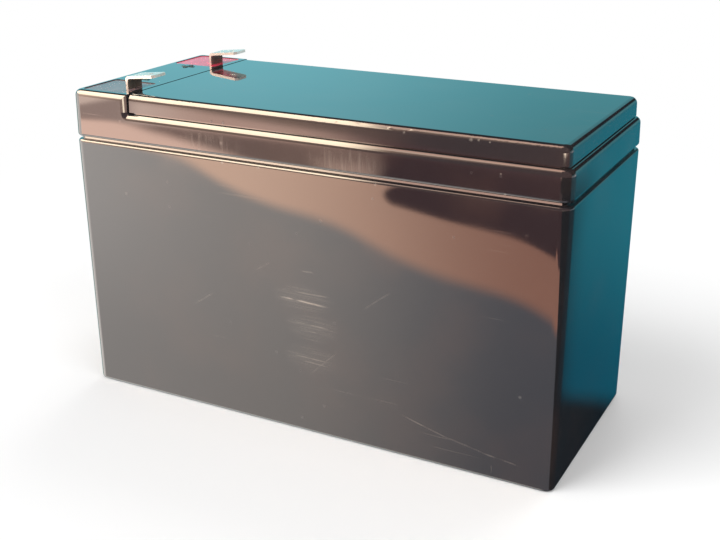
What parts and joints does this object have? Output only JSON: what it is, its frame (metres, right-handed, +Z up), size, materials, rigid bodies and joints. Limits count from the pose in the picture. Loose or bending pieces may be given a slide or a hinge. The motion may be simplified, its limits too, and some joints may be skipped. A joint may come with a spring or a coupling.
{
  "type": "sealed lead-acid battery",
  "caption": "Black box-shaped sealed lead-acid battery with a stepped lid, a flush vent cover and two bent blade terminals at one end.",
  "frame": {"origin": "middle of the base, on the surface that the battery stands on", "axes": "+X along the length, away from the terminals; +Y from front to rear; +Z up"},
  "size_m": [0.151, 0.065, 0.0975],
  "materials": {
    "black_plastic": "black moulded plastic, glossy, lightly scratched",
    "tin_plate": "tin-plated brass strip",
    "dark_potting": "dark grey potting, slightly rough",
    "red_potting": "red potting, glossy",
    "cement": "set cement",
    "cap_rubber": "black rubber",
    "lead": "dull cast lead and paste",
    "glass_mat": "white glass-fibre mat"
  },
  "bodies": {
    "root": {"case": "black_plastic", "lid": "black_plastic", "vent_cover": "black_plastic", "negative_tab": "tin_plate", "positive_tab": "tin_plate", "negative_seal": "dark_potting", "positive_seal": "red_potting", "lid_seal": "cement", "valve_cap_1": "cap_rubber", "valve_cap_2": "cap_rubber", "valve_cap_3": "cap_rubber", "valve_cap_4": "cap_rubber", "valve_cap_5": "cap_rubber", "valve_cap_6": "cap_rubber", "negative_post": "lead", "positive_post": "lead", "negative_group_1": "lead", "negative_group_2": "lead", "negative_group_3": "lead", "negative_group_4": "lead", "negative_group_5": "lead", "negative_group_6": "lead", "positive_group_1": "lead", "positive_group_2": "lead", "positive_group_3": "lead", "positive_group_4": "lead", "positive_group_5": "lead", "positive_group_6": "lead", "separators_1": "glass_mat", "separators_2": "glass_mat", "separators_3": "glass_mat", "separators_4": "glass_mat", "separators_5": "glass_mat", "separators_6": "glass_mat"}
  },
  "joints": []
}
